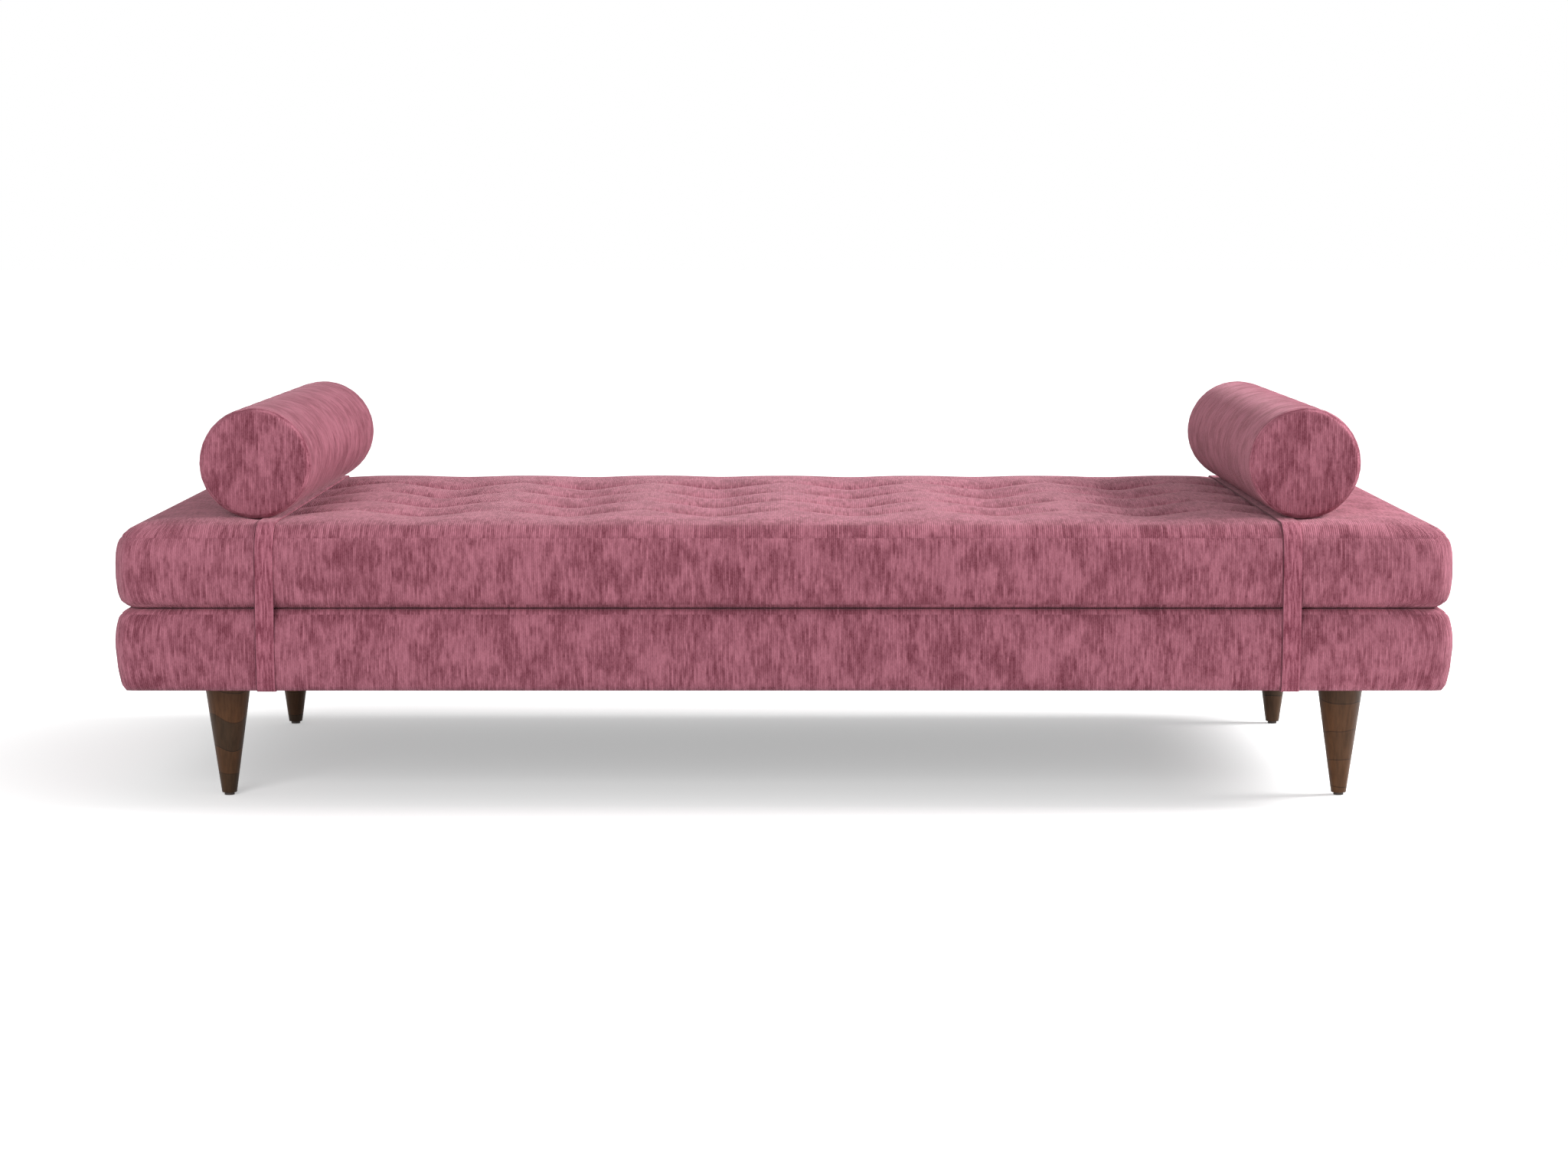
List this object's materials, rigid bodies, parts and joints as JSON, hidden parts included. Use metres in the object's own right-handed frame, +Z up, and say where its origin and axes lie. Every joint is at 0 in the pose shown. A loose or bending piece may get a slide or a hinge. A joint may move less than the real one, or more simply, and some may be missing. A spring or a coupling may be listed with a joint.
{
  "type": "daybed",
  "caption": "Low upholstered daybed on tapered round legs, with a tufted mattress and a strapped round bolster near each end.",
  "frame": {"origin": "on the floor, under the middle of the bed", "axes": "+X to the right along the length, +Y from the front to the back, +Z up"},
  "size_m": [2.032, 1.0212, 0.6047],
  "materials": {
    "chenille": "dusty rose ribbed chenille, cut pile, matt with a soft sheen",
    "webbing": "flat woven webbing in the cover's colour, matt",
    "cloth": "thin black non-woven cloth, matt",
    "wadding": "white polyester fibre, matt",
    "foam": "pale cut polyurethane foam, matt",
    "thread": "twisted sewing twine, matt",
    "zip": "nylon coil zip on a woven tape, satin",
    "walnut": "dark walnut-stained hardwood, satin lacquer",
    "softwood": "planed softwood, unfinished",
    "plywood": "birch plywood, unfinished",
    "steel": "zinc-plated steel",
    "glide": "black moulded nylon"
  },
  "bodies": {
    "platform": {"front_rail": "softwood", "back_rail": "softwood", "left_end_rail": "softwood", "right_end_rail": "softwood", "left_leg_board": "softwood", "right_leg_board": "softwood", "bearer_left": "softwood", "bearer_centre": "softwood", "bearer_right": "softwood", "corner_glue_blocks": "softwood", "frame_screws": "steel", "deck_panel": "plywood", "deck_screws": "steel", "platform_top_panel": "chenille", "platform_side_band": "chenille", "platform_top_foam": "foam", "platform_side_foam": "foam", "dust_cover": "cloth", "cover_staples": "steel", "leg_front_left": "walnut", "leg_front_right": "walnut", "leg_back_left": "walnut", "leg_back_right": "walnut", "leg_hanger_bolts": "steel", "leg_tee_nuts": "steel", "leg_glides": "glide"},
    "mattress": {"mattress_top_panel": "chenille", "mattress_border": "chenille", "mattress_bottom_panel": "chenille", "mattress_foam": "foam", "mattress_wadding": "wadding", "mattress_tuft_ties": "thread", "mattress_zip": "zip"},
    "mattress_zip_slider": {"mattress_zip_slider": "zip"},
    "bolster_left": {"bolster_left_sleeve": "chenille", "bolster_left_end_panels": "chenille", "bolster_left_foam": "foam", "bolster_left_zip": "zip", "strap_left": "webbing"},
    "bolster_left_zip_slider": {"bolster_left_zip_slider": "zip"},
    "strap_left_under": {"strap_left_under": "webbing"},
    "bolster_right": {"bolster_right_sleeve": "chenille", "bolster_right_end_panels": "chenille", "bolster_right_foam": "foam", "bolster_right_zip": "zip", "strap_right": "webbing"},
    "bolster_right_zip_slider": {"bolster_right_zip_slider": "zip"},
    "strap_right_under": {"strap_right_under": "webbing"}
  },
  "joints": [
    {"name": "mattress_lift", "type": "slide", "parent": "platform", "child": "mattress", "axis": [0, 0, 1], "range_m": [0, 0.2]},
    {"name": "mattress_zip_slide", "type": "slide", "parent": "mattress", "child": "mattress_zip_slider", "axis": [0, 1, 0], "range_m": [0, 0.785]},
    {"name": "bolster_left_slide", "type": "slide", "parent": "mattress", "child": "bolster_left", "axis": [1, 0, 0], "range_m": [-0.02, 0.674]},
    {"name": "strap_left_under_slide", "type": "slide", "parent": "platform", "child": "strap_left_under", "axis": [1, 0, 0], "range_m": [-0.02, 0.674]},
    {"name": "bolster_left_zip_slide", "type": "slide", "parent": "bolster_left", "child": "bolster_left_zip_slider", "axis": [0, 1, 0], "range_m": [0, 0.605]},
    {"name": "bolster_right_slide", "type": "slide", "parent": "mattress", "child": "bolster_right", "axis": [-1, 0, 0], "range_m": [-0.04, 0.654]},
    {"name": "strap_right_under_slide", "type": "slide", "parent": "platform", "child": "strap_right_under", "axis": [-1, 0, 0], "range_m": [-0.04, 0.654]},
    {"name": "bolster_right_zip_slide", "type": "slide", "parent": "bolster_right", "child": "bolster_right_zip_slider", "axis": [0, 1, 0], "range_m": [0, 0.605]}
  ],
  "couplings": [
    {"joint": "strap_left_under_slide", "follows": "bolster_left_slide", "ratio": 1},
    {"joint": "strap_right_under_slide", "follows": "bolster_right_slide", "ratio": 1}
  ]
}
